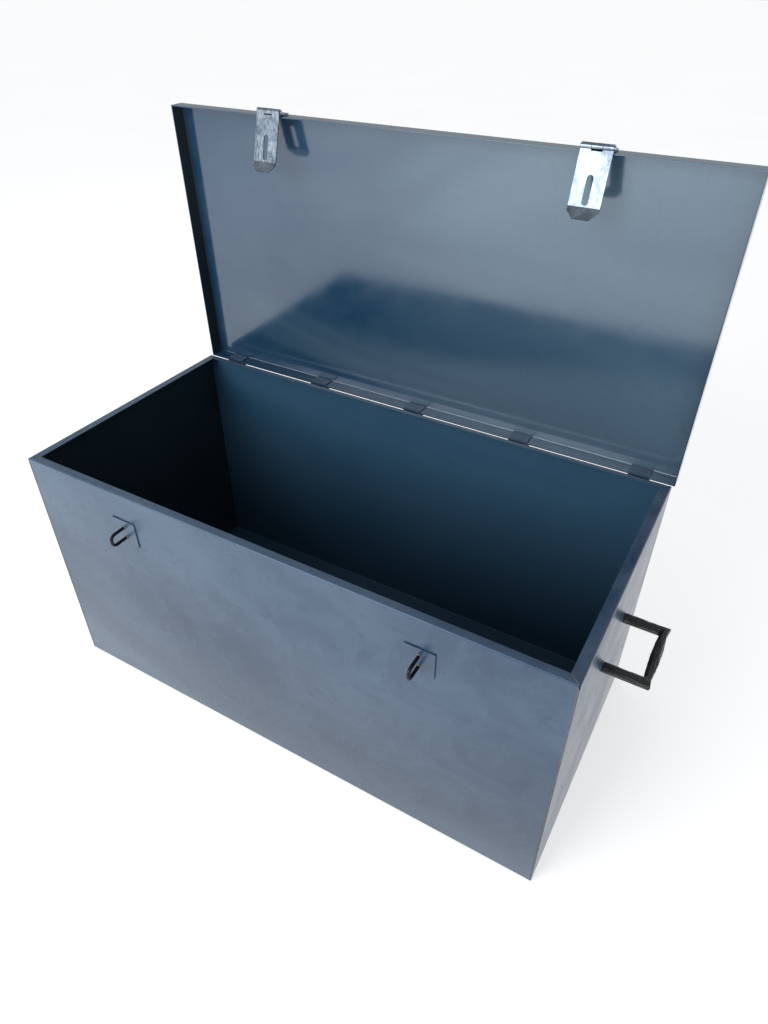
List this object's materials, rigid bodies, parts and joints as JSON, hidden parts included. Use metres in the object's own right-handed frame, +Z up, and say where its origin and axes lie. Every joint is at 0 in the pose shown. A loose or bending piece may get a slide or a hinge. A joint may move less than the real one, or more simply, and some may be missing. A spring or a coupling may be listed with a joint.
{
  "type": "truck tool box",
  "caption": "Long sheet-steel chest with a hinged pan lid, padlock hasps over wire staples and a wrapped bar handle on each end.",
  "frame": {"origin": "centre of the chest's flat underside", "axes": "+X along the length, to the right as seen from the front; +Y towards the hinges at the back; +Z up"},
  "size_m": [1.032, 0.5026, 0.888],
  "materials": {
    "body_steel": "cloudy semi-gloss rolled sheet",
    "lid_steel": "bright rolled sheet, nearly a mirror",
    "hasp_zinc": "bright zinc plate",
    "hinge_steel": "plain satin steel",
    "handle_steel": "plain satin steel",
    "black_wire": "black, semi-gloss",
    "handle_film": "wrinkled glossy black film"
  },
  "bodies": {
    "box": {"body_shell": "body_steel", "end_panel_left": "body_steel", "end_panel_right": "body_steel", "hinge_1_box_leaf": "hinge_steel", "hinge_2_box_leaf": "hinge_steel", "hinge_3_box_leaf": "hinge_steel", "hinge_4_box_leaf": "hinge_steel", "hinge_5_box_leaf": "hinge_steel", "hinge_1_pin": "hinge_steel", "hinge_2_pin": "hinge_steel", "hinge_3_pin": "hinge_steel", "hinge_4_pin": "hinge_steel", "hinge_5_pin": "hinge_steel", "staple_left_plate": "body_steel", "staple_left_loop": "black_wire", "staple_right_plate": "body_steel", "staple_right_loop": "black_wire", "handle_left_bar": "handle_steel", "handle_left_wrap": "handle_film", "handle_right_bar": "handle_steel", "handle_right_wrap": "handle_film"},
    "lid": {"lid_pan": "lid_steel", "hinge_1_lid_leaf": "hinge_steel", "hinge_2_lid_leaf": "hinge_steel", "hinge_3_lid_leaf": "hinge_steel", "hinge_4_lid_leaf": "hinge_steel", "hinge_5_lid_leaf": "hinge_steel", "hinge_1_backing_pad": "lid_steel", "hinge_2_backing_pad": "lid_steel", "hinge_3_backing_pad": "lid_steel", "hinge_4_backing_pad": "lid_steel", "hinge_5_backing_pad": "lid_steel", "hasp_left_plate": "hasp_zinc", "hasp_left_pin": "hasp_zinc", "hasp_right_plate": "hasp_zinc", "hasp_right_pin": "hasp_zinc"},
    "left_hasp": {"hasp_left_leaf": "hasp_zinc"},
    "right_hasp": {"hasp_right_leaf": "hasp_zinc"}
  },
  "joints": [
    {"name": "lid_hinge", "type": "hinge", "parent": "box", "child": "lid", "pos_m": [0, 0.234, 0.423], "axis": [1, 0, 0], "range_deg": [0, 88.92]},
    {"name": "left_hasp_swing", "type": "hinge", "parent": "lid", "child": "left_hasp", "pos_m": [-0.254, 0.22032, 0.88352], "axis": [1, 0, 0], "range_deg": [-150, 0]},
    {"name": "right_hasp_swing", "type": "hinge", "parent": "lid", "child": "right_hasp", "pos_m": [0.254, 0.22032, 0.88352], "axis": [1, 0, 0], "range_deg": [-150, 0]}
  ],
  "couplings": [
    {"joint": "left_hasp_swing", "follows": "lid_hinge", "ratio": -1.4},
    {"joint": "right_hasp_swing", "follows": "lid_hinge", "ratio": -1.4}
  ]
}
